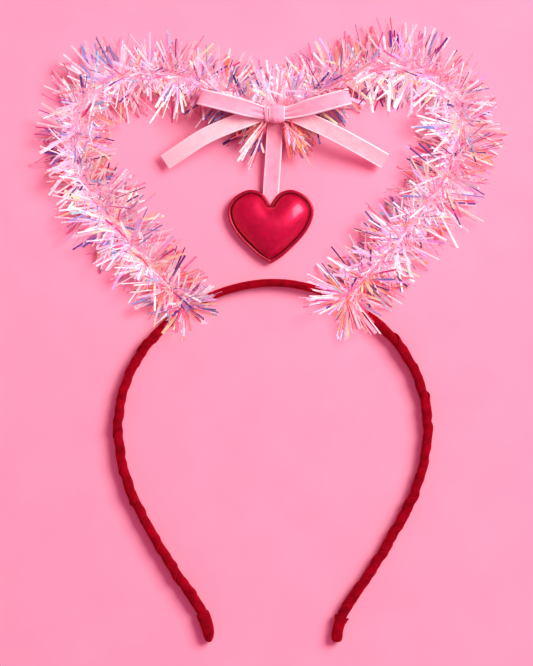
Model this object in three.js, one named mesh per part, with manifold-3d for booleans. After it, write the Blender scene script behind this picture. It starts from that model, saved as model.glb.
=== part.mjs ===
// Fringe headband: a head band wound with velvet ribbon, a tinsel garland bent into a heart on its
// crown, a ribbon bow at the dip of the garland and a padded heart hanging from the bow.
// Millimetres. It lies flat: X to the right, Y from the band's tips to the garland, Z up from the surface.
import * as THREE from 'three';
import { mergeVertices } from 'three/addons/utils/BufferGeometryUtils.js';
import Module from 'manifold-3d';

const wasm = await Module();
wasm.setup();

// Shared sizes
const GAP = 0.3;
const RIBBON = { wide: 7.2, thick: 1, gathered: 4 };

// Head band: half of its line as tangent arcs from the crown to a tip, a minus sign turning outward
const BAND = { axisX: 1.7, crownY: 21.6, middleZ: 3.2, sides: 10 };
const BAND_ARCS = [
  { part: 'crown', radius: 58, sweep: 8 },
  { part: 'shoulder', radius: 74, sweep: 40 },
  { part: 'side', radius: 59, sweep: 47 },
  { part: 'temple', radius: 80, sweep: 22 },
  { part: 'behind the ear', radius: 305, sweep: 9 },
  { part: 'tip', radius: -33, sweep: 35 },
];
const BAND_SIZES = [
  { along: 0, thick: 3.5, wide: 6.8, step: 0.1 },
  { along: 28, thick: 3.6, wide: 6.8, step: 0.15 },
  { along: 44, thick: 4, wide: 6.6, step: 0.3 },
  { along: 60, thick: 4, wide: 6.4, step: 0.4 },
  { along: 70, thick: 4, wide: 6.2, step: 0.45 },
  { along: 187, thick: 4.1, wide: 6.2, step: 0.45 },
  { along: 192.5, thick: 3.4, wide: 4.2, step: 0.2 },
  { along: 196, thick: 2.6, wide: 3.6, step: 0.1 },
  { along: 205, thick: 2.6, wide: 3.6, step: 0.1 },
];
const WRAP = { pitch: 14, rowsAt: [0, 0.33, 0.66, 0.95] };
const BAND_END = 204;

// Folded ribbon over each tip: its outside at a row of places along the band
const END_FOLD = [
  { along: 194.4, thick: 6.6, wide: 6.4 },
  { along: 195.6, thick: 6.2, wide: 6.4 },
  { along: 198, thick: 5.3, wide: 6.3 },
  { along: 203.5, thick: 5.2, wide: 6.2 },
  { along: 205.4, thick: 4.6, wide: 5.4 },
  { along: 206.2, thick: 3.2, wide: 4 },
];

// Garland: the wire's route over the surface from the left foot to the right foot
const FEET = { left: -36, right: 32 };
const WIRE_LEFT = [
  [-60.4, 38.9], [-80.4, 66.5], [-85.6, 84], [-80, 101.8], [-64, 111], [-41, 112], [-19, 103.6],
];
const WIRE_DIP = [3.4, 94.4];
const WIRE_RIGHT = [
  [22, 105.4], [39.4, 113.6], [58, 115.8], [76.4, 108.8], [84, 92], [77.8, 69.1], [56.9, 40.7],
];
const WIRE_SIZES = [
  { away: 0, height: 9.5, tall: 1.4, spread: 1.4 },
  { away: 5, height: 9.5, tall: 1.4, spread: 1.4 },
  { away: 10, height: 9.5, tall: 1.5, spread: 2.2 },
  { away: 22, height: 9.5, tall: 2.2, spread: 4.6 },
  { away: 36, height: 9.6, tall: 2.5, spread: 7 },
  { away: 56, height: 10.5, tall: 6.6, spread: 8.4 },
  { away: 150, height: 10.5, tall: 6.6, spread: 8.4 },
  { away: 185, height: 7.4, tall: 5, spread: 6.4 },
  { away: 205, height: 5.4, tall: 1.8, spread: 1.8 },
];
const LOCKS = { count: 162, shortest: 14.5, longest: 20.5, lean: 0.5, bare: 6, margin: 1.3 };
const DIP_LOCKS = { count: 5, from: 8, step: 3.6, drop: 0.16, lean: 0.25, length: 17 };
const FOOT_LOCKS = { count: 5, from: 7, fan: 150, rise: 0.55, length: 19 };
const LOCK_SECTIONS = { rootWide: 1.4, rootThick: 1.2, tipWide: 4.4, tipThick: 0.8 };

// Bow: the knot, one loop as shares of its length with heights, and the tails' middle line
const KNOT = { x: 3.4, y: 95.2, wide: 7.2, tall: 8.2, bottom: 6.8, top: 16.9, wall: 1, corner: 2.6 };
const LOOP_LENGTHS = { left: -33.8, right: 31.4, rise: 7.4, lean: 0.23 };
const LOOP_LINE = [
  { out: 0, height: 14.6 },
  { out: 0.18, height: 15 },
  { out: 0.45, height: 17.2 },
  { out: 0.7, height: 18 },
  { out: 0.93, height: 17.3 },
  { out: 1, height: 15.6 },
  { out: 0.93, height: 14 },
  { out: 0.65, height: 13.6 },
  { out: 0.32, height: 13.4 },
  { out: 0, height: 13.3 },
];
const TAIL_LINE = [
  [-45.8, 74.3, 4], [-38, 79.3, 7.6], [-28.4, 85.3, 10.6], [-14, 91.5, 12], [-4, 94.5, 11.8],
  [3.4, 95.2, 11.7],
  [10.5, 94.4, 11.8], [21.4, 90.3, 12], [33.3, 84.4, 10.8], [42, 79.8, 7.8], [51, 74.8, 4.2],
];
const HANGER_LINE = [
  [3.2, 98.6, 5.8], [2.9, 93, 5.8], [2.4, 87, 5.5], [1.8, 76, 4.2], [1.1, 66, 3], [0.7, 58, 2.65],
  [0.7, 52, 2.65],
];

// Padded heart: the right half of its outline from the tip to the cleft, and its levels as insets
const HEART = { x: 0.7, tipY: 30.1, middleY: 17, seam: 2.65, points: 40 };
const HEART_HALF = [
  [0, 0], [4.6, 2.8], [9, 6.7], [12.9, 10.6], [16, 14.6], [18.4, 20], [18.6, 24.5], [15.9, 29],
  [9.4, 32.2], [4, 30.8], [1.2, 27.6], [0, 25.4],
];
const FRONT_LEVELS = [
  { inset: 0, height: 2.8 },
  { inset: -0.1, height: 3.5 },
  { inset: 0.45, height: 4.3 },
  { inset: 1.2, height: 4.4 },
  { inset: 1.9, height: 3.7 },
];
const FRONT_PILLOW = { from: 3.7, top: 9.2, rows: 5, spine: 0.3 };
const BACK_LEVELS = [
  { inset: 0, height: 2.5 },
  { inset: -0.1, height: 1.9 },
  { inset: 0.5, height: 1.2 },
  { inset: 1.4, height: 1.1 },
  { inset: 2, height: 1.4 },
  { inset: 4.6, height: 0 },
];

// Colours and finishes
const FINISHES = {
  darkVelvet: { color: 0x8f0a1c, roughness: 0.9, metalness: 0 },
  tinsel: { color: 0xf3d3dd, roughness: 0.25, metalness: 0.3 },
  pinkVelvet: { color: 0xf0b3c4, roughness: 0.85, metalness: 0 },
  redLeather: { color: 0xb3122f, roughness: 0.35, metalness: 0.2 },
};

// Small tools

function between(table, key, place, column) {
  const after = table.findIndex((row) => row[key] >= place);
  if (after === 0) return table[0][column];
  if (after < 0) return table[table.length - 1][column];
  const low = table[after - 1];
  const high = table[after];
  return THREE.MathUtils.mapLinear(place, low[key], high[key], low[column], high[column]);
}

function part(number) {
  return number - Math.floor(number);
}

// A closed skin over rings with equal point counts. A looped row of rings has no ends to fill, and
// with a lead each ring runs on into the ring that many places further, like a screw thread.
function skin(rings, { looped = false, lead = 0 } = {}) {
  const sides = rings[0].length;
  const last = rings.length - 1;
  const points = rings.flat();
  const faces = [];
  const at = (ring, side) => {
    if (side < sides) return (ring % rings.length) * sides + side;
    return (Math.min(ring + lead, looped ? ring : last) % rings.length) * sides;
  };
  for (let ring = 0; ring < last + (looped ? 1 : 0); ring += 1) {
    for (let side = 0; side < sides; side += 1) {
      faces.push(at(ring, side), at(ring, side + 1), at(ring + 1, side + 1));
      faces.push(at(ring, side), at(ring + 1, side + 1), at(ring + 1, side));
    }
  }
  const ends = looped ? [] : [0, last];
  for (const ring of ends) {
    const middle = points.length;
    const sum = rings[ring].reduce((total, point) => total.add(point), new THREE.Vector3());
    points.push(sum.divideScalar(sides));
    for (let side = 0; side < sides; side += 1) {
      const pair = [ring * sides + side, ring * sides + ((side + 1) % sides)];
      faces.push(...(ring === 0 ? pair.reverse() : pair), middle);
    }
  }
  return closed(points, faces);
}

// Joins equal points, drops flat faces and turns the skin outward
function closed(points, faces) {
  const rough = new THREE.BufferGeometry().setFromPoints(points);
  rough.setIndex(faces);
  const merged = mergeVertices(rough, 1e-3);
  const order = Array.from(merged.index.array);
  const corner = (number) => new THREE.Vector3().fromBufferAttribute(merged.attributes.position, number);
  const kept = [];
  let volume = 0;
  for (let face = 0; face < order.length; face += 3) {
    const trio = order.slice(face, face + 3);
    if (new Set(trio).size === 3) {
      kept.push(trio);
      const [a, b, c] = trio.map(corner);
      volume += a.dot(b.cross(c));
    }
  }
  merged.setIndex(kept.flatMap((trio) => (volume < 0 ? trio.reverse() : trio)));
  return merged;
}

function toSolid(geometry) {
  const triVerts = Uint32Array.from(geometry.index.array);
  const mesh = new wasm.Mesh({ numProp: 3, vertProperties: geometry.attributes.position.array, triVerts });
  return new wasm.Manifold(mesh);
}

function toGeometry(solid) {
  const mesh = solid.getMesh();
  const geometry = new THREE.BufferGeometry();
  geometry.setAttribute('position', new THREE.BufferAttribute(mesh.vertProperties, 3));
  geometry.setIndex(new THREE.BufferAttribute(mesh.triVerts, 1));
  return geometry;
}

// Head band

function bandAt(along) {
  let rest = Math.abs(along);
  let heading = 0;
  let x = 0;
  let y = 0;
  for (const { radius, sweep } of BAND_ARCS) {
    const turn = Math.min(rest / Math.abs(radius), THREE.MathUtils.degToRad(sweep));
    const next = heading + turn * Math.sign(radius);
    x += radius * (Math.sin(next) - Math.sin(heading));
    y += radius * (Math.cos(next) - Math.cos(heading));
    heading = next;
    rest -= turn * Math.abs(radius);
  }
  x += rest * Math.cos(heading);
  y -= rest * Math.sin(heading);
  const side = along < 0 ? -1 : 1;
  const point = new THREE.Vector3(BAND.axisX + side * x, BAND.crownY + y, BAND.middleZ);
  const outward = new THREE.Vector3(side * Math.sin(heading), Math.cos(heading), 0);
  return { point, outward };
}

// A point of a rounded oblong section, flattened where it would pass below the surface
function bandSection(along, angle, thick, wide) {
  const { point, outward } = bandAt(along);
  const soften = (value) => Math.sign(value) * Math.abs(value) ** 0.7;
  const place = point.clone().addScaledVector(outward, (thick / 2) * soften(Math.cos(angle)));
  place.z = Math.max(0, place.z + (wide / 2) * soften(Math.sin(angle)));
  return place;
}

function bandSize(along, column) {
  return between(BAND_SIZES, 'along', Math.abs(along), column);
}

// Each turn of the wrap starts high on the edge of the last one and sinks to the band under it
function makeBand() {
  const rings = [];
  const turns = Math.ceil((2 * BAND_END) / WRAP.pitch) + 1;
  for (let turn = -1; turn < turns; turn += 1) {
    for (const row of WRAP.rowsAt) {
      const ring = [];
      for (let side = 0; side < BAND.sides; side += 1) {
        const around = side / BAND.sides;
        const place = (turn + row + around) * WRAP.pitch - BAND_END;
        const along = THREE.MathUtils.clamp(place, -BAND_END, BAND_END);
        const phase = Math.abs(place) < BAND_END ? row : 0.5;
        const lift = 2 * bandSize(along, 'step') * (1 - phase);
        const thick = bandSize(along, 'thick') + lift;
        const wide = bandSize(along, 'wide') + lift;
        ring.push(bandSection(along, 2 * Math.PI * around, thick, wide));
      }
      rings.push(ring);
    }
  }
  return skin(rings, { lead: WRAP.rowsAt.length });
}

function bandRing(along, thick, wide) {
  const angles = Array.from({ length: 12 }, (_, side) => (2 * Math.PI * side) / 12);
  return angles.map((angle) => bandSection(along, angle, thick, wide));
}

function makeEndFold(side) {
  const outside = skin(END_FOLD.map(({ along, thick, wide }) => bandRing(side * along, thick, wide)));
  const places = [193.7, 195.2, 197.2, 200, BAND_END + GAP];
  const inside = places.map((along) => {
    const room = 2 * (GAP + 0.1 + bandSize(along, 'step'));
    const thick = bandSize(along, 'thick') + room;
    return bandRing(side * along, thick, bandSize(along, 'wide') + room);
  });
  return toGeometry(toSolid(outside).subtract(toSolid(skin(inside))));
}

// Ribbons

// A ribbon along a curve, its width lying in the direction that acrossAt gives
function ribbon(curve, pieces, wideAt, acrossAt, looped = false) {
  const rings = [];
  for (let piece = 0; piece < pieces + (looped ? 0 : 1); piece += 1) {
    const share = piece / pieces;
    const middle = curve.getPointAt(share);
    const tangent = curve.getTangentAt(share);
    const across = acrossAt(middle, tangent).multiplyScalar(wideAt(middle) / 2);
    const up = across.clone().cross(tangent).setLength(RIBBON.thick / 2);
    const corners = [[1, 1], [-1, 1], [-1, -1], [1, -1]];
    rings.push(corners.map(([a, b]) => middle.clone().addScaledVector(across, a).addScaledVector(up, b)));
  }
  return skin(rings, { looped });
}

function levelAcross(middle, tangent) {
  return new THREE.Vector3(-tangent.y, tangent.x, 0).normalize();
}

function nearKnot(middle) {
  const away = Math.abs(middle.x - KNOT.x);
  return THREE.MathUtils.lerp(RIBBON.gathered, RIBBON.wide, THREE.MathUtils.smoothstep(away, 3.5, 13));
}

function curveThrough(places, looped = false) {
  return new THREE.CatmullRomCurve3(places.map((place) => new THREE.Vector3(...place)), looped);
}

function loopPlaces(length, rows) {
  const rise = (out) => LOOP_LENGTHS.rise * Math.max(0, (out - 0.12) / 0.88);
  return rows.map(({ out, height }) => [KNOT.x + out * length, KNOT.y + rise(out), height]);
}

const loopCurve = curveThrough([
  ...loopPlaces(LOOP_LENGTHS.left, LOOP_LINE),
  ...loopPlaces(LOOP_LENGTHS.right, LOOP_LINE.slice(1, -1).reverse()),
], true);
const tailCurve = curveThrough(TAIL_LINE);
const hangerCurve = curveThrough(HANGER_LINE);

function makeBowLoops() {
  const acrossAt = (middle) => {
    const lean = LOOP_LENGTHS.lean * THREE.MathUtils.clamp((middle.x - KNOT.x) / 10, -1, 1);
    return new THREE.Vector3(-lean, 1, 0).normalize();
  };
  return ribbon(loopCurve, 52, nearKnot, acrossAt, true);
}

function makeBowTails() {
  return ribbon(tailCurve, 32, nearKnot, levelAcross);
}

function makeHanger() {
  return ribbon(hangerCurve, 14, () => RIBBON.wide, levelAcross);
}

// The knot is a ribbon ring round the bow's middle and the garland's dip, fuller at its middle
function knotRing(x, inset) {
  const shape = new THREE.Shape();
  const [wide, tall] = [KNOT.tall / 2 - inset, (KNOT.top - KNOT.bottom) / 2 - inset];
  const corner = KNOT.corner - inset;
  shape.moveTo(wide, -tall + corner);
  shape.lineTo(wide, tall - corner);
  shape.absarc(wide - corner, tall - corner, corner, 0, Math.PI / 2);
  shape.absarc(corner - wide, tall - corner, corner, Math.PI / 2, Math.PI);
  shape.absarc(corner - wide, corner - tall, corner, Math.PI, 1.5 * Math.PI);
  shape.absarc(wide - corner, corner - tall, corner, 1.5 * Math.PI, 2 * Math.PI);
  const middle = (KNOT.top + KNOT.bottom) / 2;
  return shape.getSpacedPoints(24).slice(0, -1).map((spot) => (
    new THREE.Vector3(KNOT.x + x, KNOT.y + spot.x, middle + spot.y)
  ));
}

function makeKnot() {
  const half = KNOT.wide / 2;
  const outside = [[-half, 0.35], [-half / 2, 0.05], [0, 0], [half / 2, 0.05], [half, 0.35]];
  const hole = [-half - 1, half + 1].map((x) => knotRing(x, KNOT.wall));
  const wound = skin(outside.map(([x, inset]) => knotRing(x, inset)));
  return toGeometry(toSolid(wound).subtract(toSolid(skin(hole))));
}

// Padded heart

const heartHalf = new THREE.SplineCurve(HEART_HALF.map(([x, y]) => new THREE.Vector2(x, y)));

function heartOutline() {
  const right = heartHalf.getSpacedPoints(HEART.points / 2);
  const left = right.slice(1, -1).reverse().map((spot) => new THREE.Vector2(-spot.x, spot.y));
  return [...right, ...left];
}

function heartRing(inset, height) {
  const outline = heartOutline();
  return outline.map((spot, number) => {
    const before = outline.at(number - 1);
    const after = outline[(number + 1) % outline.length];
    const inward = new THREE.Vector2(before.y - after.y, after.x - before.x).normalize();
    const place = spot.clone().addScaledVector(inward, inset);
    return new THREE.Vector3(HEART.x + place.x, HEART.tipY + place.y, height);
  });
}

// Draws a ring of the heart towards its spine by a share of the way
function shrunkRing(ring, share, height) {
  const { spine } = FRONT_PILLOW;
  const middleY = HEART.tipY + HEART.middleY;
  return ring.map((point) => {
    const goal = new THREE.Vector3(
      HEART.x + (point.x - HEART.x) * spine,
      middleY + (point.y - middleY) * spine,
      height,
    );
    return point.clone().setZ(height).lerp(goal, share);
  });
}

function hangerSlot() {
  const slot = new THREE.BoxGeometry(RIBBON.wide + 2 * GAP, 20, RIBBON.thick + 2 * GAP);
  const end = HANGER_LINE[HANGER_LINE.length - 1];
  slot.translate(end[0], end[1] - GAP + 10, HEART.seam);
  slot.deleteAttribute('normal');
  slot.deleteAttribute('uv');
  return toSolid(mergeVertices(slot));
}

function makeHeartFront() {
  const rings = FRONT_LEVELS.map(({ inset, height }) => heartRing(inset, height));
  const { from, top, rows } = FRONT_PILLOW;
  const edge = rings[rings.length - 1];
  for (let row = 1; row <= rows; row += 1) {
    const share = 1 - Math.cos((Math.PI / 2) * (row / rows));
    const height = from + (top - from) * Math.sin((Math.PI / 2) * (row / rows));
    rings.push(shrunkRing(edge, share, height));
  }
  return toGeometry(toSolid(skin(rings)).subtract(hangerSlot()));
}

function makeHeartBack() {
  const rings = BACK_LEVELS.map(({ inset, height }) => heartRing(inset, height));
  return toGeometry(toSolid(skin(rings)).subtract(hangerSlot()));
}

// Tinsel garland

function foot(along) {
  const { point, outward } = bandAt(along);
  const off = (bandSize(along, 'thick') / 2) + bandSize(along, 'step') + GAP;
  const place = point.addScaledVector(outward, off + 0.6);
  return [place.x, place.y];
}

const route = [foot(FEET.left), ...WIRE_LEFT, WIRE_DIP, ...WIRE_RIGHT, foot(FEET.right)];
const flatWire = curveThrough(route.map(([x, y]) => [x, y, 0]));
flatWire.arcLengthDivisions = 800;
const wireLength = flatWire.getLength();

function dipPlace() {
  const dip = new THREE.Vector3(...WIRE_DIP, 0);
  const shares = Array.from({ length: 801 }, (_, step) => step / 800);
  const apart = (share) => flatWire.getPointAt(share).distanceTo(dip);
  return wireLength * shares.reduce((best, share) => (apart(share) < apart(best) ? share : best), 0.5);
}

const dipAt = dipPlace();

function wireSize(along, column) {
  return between(WIRE_SIZES, 'away', Math.abs(along - dipAt), column);
}

// The wire's middle at a place along it, with its own directions along, sideways and up
function wireAt(along) {
  const share = THREE.MathUtils.clamp(along / wireLength, 0, 1);
  const point = flatWire.getPointAt(share).setZ(wireSize(along, 'height'));
  const forward = flatWire.getTangentAt(share);
  const sideways = new THREE.Vector3(-forward.y, forward.x, 0).normalize();
  return { point, forward, sideways, up: new THREE.Vector3(0, 0, 1) };
}

function makeCore() {
  const stations = 46;
  const sides = 6;
  const rings = Array.from({ length: stations + 1 }, (_, number) => {
    const along = (wireLength * number) / stations;
    const { point, sideways, up } = wireAt(along);
    return Array.from({ length: sides }, (__, side) => {
      const angle = (2 * Math.PI * side) / sides;
      const place = point.clone().addScaledVector(sideways, wireSize(along, 'spread') * Math.cos(angle));
      return place.addScaledVector(up, wireSize(along, 'tall') * Math.sin(angle));
    });
  });
  return toSolid(skin(rings));
}

// What the locks keep clear of: middle points with a half width and the heights they fill
function obstacles() {
  const list = [];
  const ribbons = [[loopCurve, 140], [tailCurve, 90], [hangerCurve, 30]];
  for (const [curve, count] of ribbons) {
    for (const { x, y, z } of curve.getSpacedPoints(count)) {
      list.push({ x, y, reach: RIBBON.wide / 2, low: z - 0.8, high: z + 0.8 });
    }
  }
  list.push({ x: KNOT.x, y: KNOT.y, reach: 5.6, low: KNOT.bottom, high: KNOT.top });
  for (let along = -90; along <= 90; along += 2) {
    const { point } = bandAt(along);
    list.push({ x: point.x, y: point.y, reach: bandSize(along, 'thick') / 2 + 0.5, low: 0, high: 7 });
  }
  return list;
}

const inTheWay = obstacles();

function isFree(root, direction, length) {
  for (let step = 2; step <= length; step += 1) {
    const spot = root.clone().addScaledVector(direction, step);
    for (const { x, y, reach, low, high } of inTheWay) {
      const near = Math.hypot(spot.x - x, spot.y - y) < reach + LOCKS.margin;
      if (near && spot.z > low - LOCKS.margin && spot.z < high + LOCKS.margin) return false;
    }
  }
  return true;
}

// A direction out of the wire, lifted where it would pass below the surface
function lockDirection(place, around, lean, length) {
  const { point, forward, sideways, up } = place;
  const direction = sideways.clone().multiplyScalar(Math.cos(around));
  direction.addScaledVector(up, Math.sin(around)).addScaledVector(forward, lean).normalize();
  const lowest = (LOCK_SECTIONS.tipThick - point.z) / length;
  if (direction.z < lowest) {
    const level = Math.hypot(direction.x, direction.y) || 1;
    const spread = Math.sqrt(1 - lowest * lowest) / level;
    direction.set(direction.x * spread, direction.y * spread, lowest);
  }
  return direction;
}

function lock(root, direction, length) {
  const across = new THREE.Vector3(-direction.y, direction.x, 0);
  if (across.length() < 0.1) across.set(1, 0, 0);
  across.normalize();
  const upright = direction.clone().cross(across);
  const { rootWide, rootThick, tipWide, tipThick } = LOCK_SECTIONS;
  const ends = [[0, rootWide, rootThick], [length, tipWide, tipThick]];
  const corners = [[1, 1], [-1, 1], [-1, -1], [1, -1]];
  return skin(ends.map(([out, wide, thick]) => corners.map(([a, b]) => (
    root.clone().addScaledVector(direction, out)
      .addScaledVector(across, (a * wide) / 2)
      .addScaledVector(upright, (b * thick) / 2)
  ))));
}

// The locks stand round the wire at the golden angle, closer at its sides than above and below,
// and turn aside from what is in the way
function roundLocks() {
  const golden = Math.PI * (3 - Math.sqrt(5));
  const locks = [];
  for (let number = 0; number < LOCKS.count; number += 1) {
    const along = (wireLength * (number + 0.5)) / LOCKS.count;
    if (Math.abs(along - dipAt) > LOCKS.bare) {
      const place = wireAt(along);
      const around = number * golden - 0.35 * Math.sin(2 * number * golden);
      const lean = LOCKS.lean * Math.sin(number * 1.7);
      const length = THREE.MathUtils.lerp(LOCKS.shortest, LOCKS.longest, part(number * 0.754878));
      for (let attempt = 0; attempt < 18; attempt += 1) {
        const swing = (attempt % 2 ? 1 : -1) * Math.ceil(attempt / 2) * (Math.PI / 9);
        const direction = lockDirection(place, around + swing, lean, length);
        if (isFree(place.point, direction, length)) {
          locks.push(lock(place.point, direction, length));
          break;
        }
      }
    }
  }
  return locks;
}

// Under the bow a row of locks hangs out below each side of the dip
function dipLocks() {
  const { count, from, step, drop, lean, length } = DIP_LOCKS;
  const locks = [];
  for (const side of [-1, 1]) {
    for (let number = 0; number < count; number += 1) {
      const place = wireAt(dipAt + side * (from + step * number));
      const direction = place.sideways.clone().negate().addScaledVector(place.forward, -side * lean);
      direction.setZ(-drop).normalize();
      if (isFree(place.point, direction, length)) locks.push(lock(place.point, direction, length));
    }
  }
  return locks;
}

// At each foot a fan of locks stands back over the head band
function footLocks() {
  const { count, from, fan, rise, length } = FOOT_LOCKS;
  const locks = [];
  for (const side of [-1, 1]) {
    const place = wireAt(side < 0 ? from : wireLength - from);
    const back = place.forward.clone().multiplyScalar(side);
    for (let number = 0; number < count; number += 1) {
      const turn = THREE.MathUtils.degToRad(fan * (number / (count - 1) - 0.5));
      const direction = back.clone().applyAxisAngle(place.up, turn).setZ(rise).normalize();
      if (isFree(place.point, direction, length)) locks.push(lock(place.point, direction, length));
    }
  }
  return locks;
}

function makeTinsel() {
  const locks = [...roundLocks(), ...dipLocks(), ...footLocks()];
  return toGeometry(locks.reduce((garland, geometry) => garland.add(toSolid(geometry)), makeCore()));
}

// The whole headband

function piece(name, geometry, finish) {
  geometry.computeVertexNormals();
  const mesh = new THREE.Mesh(geometry, new THREE.MeshStandardMaterial(finish));
  mesh.name = name;
  return mesh;
}

const headband = new THREE.Group();
headband.name = 'fringe_headband';
headband.add(
  piece('band', makeBand(), FINISHES.darkVelvet),
  piece('end_fold_left', makeEndFold(-1), FINISHES.darkVelvet),
  piece('end_fold_right', makeEndFold(1), FINISHES.darkVelvet),
  piece('tinsel_heart', makeTinsel(), FINISHES.tinsel),
  piece('bow_loops', makeBowLoops(), FINISHES.pinkVelvet),
  piece('bow_tails', makeBowTails(), FINISHES.pinkVelvet),
  piece('bow_knot', makeKnot(), FINISHES.pinkVelvet),
  piece('heart_hanger', makeHanger(), FINISHES.pinkVelvet),
  piece('heart_front', makeHeartFront(), FINISHES.redLeather),
  piece('heart_back', makeHeartBack(), FINISHES.redLeather),
);

export default headband;
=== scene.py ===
# %% [markdown]
# # A fringe headband
# A hair band wound with dark red velvet ribbon carries a tinsel garland, bent into the outline of a
# heart. A pink velvet bow is tied at the dip of the garland, and a small padded heart hangs from it.
# The solid model of the headband is loaded first and stays as the frame: the pieces made below take the
# place of its solids, at the same size and in the same spot.

import math

import bmesh
import bpy
import numpy as np
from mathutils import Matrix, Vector


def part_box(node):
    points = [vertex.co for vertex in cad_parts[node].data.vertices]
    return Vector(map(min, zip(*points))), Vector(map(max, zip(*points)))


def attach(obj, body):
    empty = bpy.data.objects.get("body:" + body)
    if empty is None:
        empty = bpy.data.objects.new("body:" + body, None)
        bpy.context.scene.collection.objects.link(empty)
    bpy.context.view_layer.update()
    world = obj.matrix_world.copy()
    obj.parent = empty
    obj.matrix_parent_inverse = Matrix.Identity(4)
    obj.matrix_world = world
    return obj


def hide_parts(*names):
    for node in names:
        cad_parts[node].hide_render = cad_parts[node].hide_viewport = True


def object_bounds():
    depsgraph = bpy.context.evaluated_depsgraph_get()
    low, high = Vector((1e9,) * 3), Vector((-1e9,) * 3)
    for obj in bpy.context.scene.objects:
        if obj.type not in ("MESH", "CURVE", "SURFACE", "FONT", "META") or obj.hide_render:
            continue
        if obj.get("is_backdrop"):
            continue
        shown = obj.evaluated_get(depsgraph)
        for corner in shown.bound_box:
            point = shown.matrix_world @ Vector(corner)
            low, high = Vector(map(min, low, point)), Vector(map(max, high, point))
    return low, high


MM = 0.001
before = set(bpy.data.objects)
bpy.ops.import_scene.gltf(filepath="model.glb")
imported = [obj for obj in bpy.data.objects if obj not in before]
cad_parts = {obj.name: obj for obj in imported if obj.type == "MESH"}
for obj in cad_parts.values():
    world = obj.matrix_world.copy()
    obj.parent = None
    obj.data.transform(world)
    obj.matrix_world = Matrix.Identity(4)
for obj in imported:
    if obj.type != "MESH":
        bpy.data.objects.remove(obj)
frame_box = [list(corner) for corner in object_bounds()]
for node in sorted(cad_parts):
    low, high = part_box(node)
    print(node, "spans", [round(side / MM, 1) for side in high - low], "mm")

# %% [markdown]
# ## Camera
# The headband lies flat and is seen straight from above. A long lens far away keeps the tall tinsel
# and the low band at nearly the same scale, as a picture of a flat layout should. The view is sized
# from the picture: so many pixels at so many millimetres each, at the height of the garland's wire.

# %% Camera
def add_object(name, data):
    made = bpy.data.objects.new(name, data)
    bpy.context.scene.collection.objects.link(made)
    return made


PICTURE = {"tall_px": 666, "mm_per_px": 0.4375, "middle": (-1.1, -0.45), "plane": 8}
LENS_AWAY = 1800
SENSOR = 36

camera_data = bpy.data.cameras.new("overhead_camera")
camera = add_object("overhead_camera", camera_data)
camera.location = Vector((*PICTURE["middle"], PICTURE["plane"] + LENS_AWAY)) * MM
camera_data.sensor_width = SENSOR
camera_data.lens = SENSOR * LENS_AWAY / (PICTURE["tall_px"] * PICTURE["mm_per_px"])
bpy.context.scene.camera = camera
print("lens", round(camera_data.lens), "mm at", LENS_AWAY, "mm")

# %% [markdown]
# ## Building blocks for the finishes
# Every finish below is a small tree of shader nodes. One helper adds a node and fills its sockets with
# numbers or links, and a few more add the kinds of node that come up often: noise, sums, mixes, colour
# ramps. Colours are written as the numbers a paint program shows, and turned into the linear light values
# that the shader needs.

# %% Node helpers
def linear(red, green, blue):
    """A colour given 0 to 255 a channel, as linear light."""
    shares = [channel / 255 for channel in (red, green, blue)]
    return tuple(s / 12.92 if s <= 0.04045 else ((s + 0.055) / 1.055) ** 2.4 for s in shares)


def add_node(tree, kind, sockets, **settings):
    node = tree.nodes.new("ShaderNode" + kind)
    for name, value in settings.items():
        setattr(node, name, value)
    for name, value in sockets.items():
        if isinstance(value, bpy.types.NodeSocket):
            tree.links.new(value, node.inputs[name])
        else:
            node.inputs[name].default_value = value
    return node


def add_place(tree, kind):
    return add_node(tree, "TexCoord", {}).outputs[kind]


def add_noise(tree, scale, detail):
    noise = {"Vector": add_place(tree, "Object"), "Scale": scale, "Detail": detail}
    return add_node(tree, "TexNoise", noise).outputs["Fac"]


def add_math(tree, operation, *terms):
    return add_node(tree, "Math", dict(enumerate(terms)), operation=operation).outputs["Value"]


def add_mix(tree, factor, one, other, way="MIX"):
    sockets = {"Factor": factor, "A": one, "B": other}
    return add_node(tree, "Mix", sockets, data_type="RGBA", blend_type=way).outputs["Result"]


print("colour check: mid grey becomes", round(linear(128, 128, 128)[0], 3))

# %% Ramps and new finishes
NOISE_RANGE = (0.3, 0.7)


def add_ramp(tree, factor, stops):
    node = add_node(tree, "ValToRGB", {"Fac": factor})
    marks = node.color_ramp.elements
    while len(marks) < len(stops):
        marks.new(1)
    for mark, (place, colour) in zip(marks, stops):
        mark.position = place
        mark.color = (*colour, 1)
    return node.outputs["Color"]


def blend(tree, noise, dark, light, shift=0.0):
    """One colour into another over the values that a noise mostly has."""
    low, high = NOISE_RANGE
    return add_ramp(tree, noise, [(low - shift, dark), (high - shift, light)])


def roughen(tree, shader, height, strength, distance):
    bump = add_node(tree, "Bump", {"Height": height, "Strength": strength, "Distance": distance})
    tree.links.new(bump.outputs["Normal"], shader.inputs["Normal"])


def new_finish(name, **sockets):
    finish = bpy.data.materials.new(name)
    finish.use_nodes = True
    shader = finish.node_tree.nodes["Principled BSDF"]
    for socket, value in sockets.items():
        shader.inputs[socket.replace("_", " ")].default_value = value
    return finish, finish.node_tree, shader


print("most noise lies between", *NOISE_RANGE)

# %% [markdown]
# ## Floor and light
# The headband lies on a sheet of pink paper under one large soft lamp from the upper right, with a
# pink fill from all round. The lamp is big, so shadows have soft edges and fall to the lower left.

# %% Floor and light
FLOOR_SIDE = 6
LAMP = {"place": (1.22, 0.82, 1.52), "side": 1.1, "power": 53.5, "colour": (0.97, 1.05, 0.97)}
FILL = {"colour": (1, 0.31, 0.55), "strength": 0.62}

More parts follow.
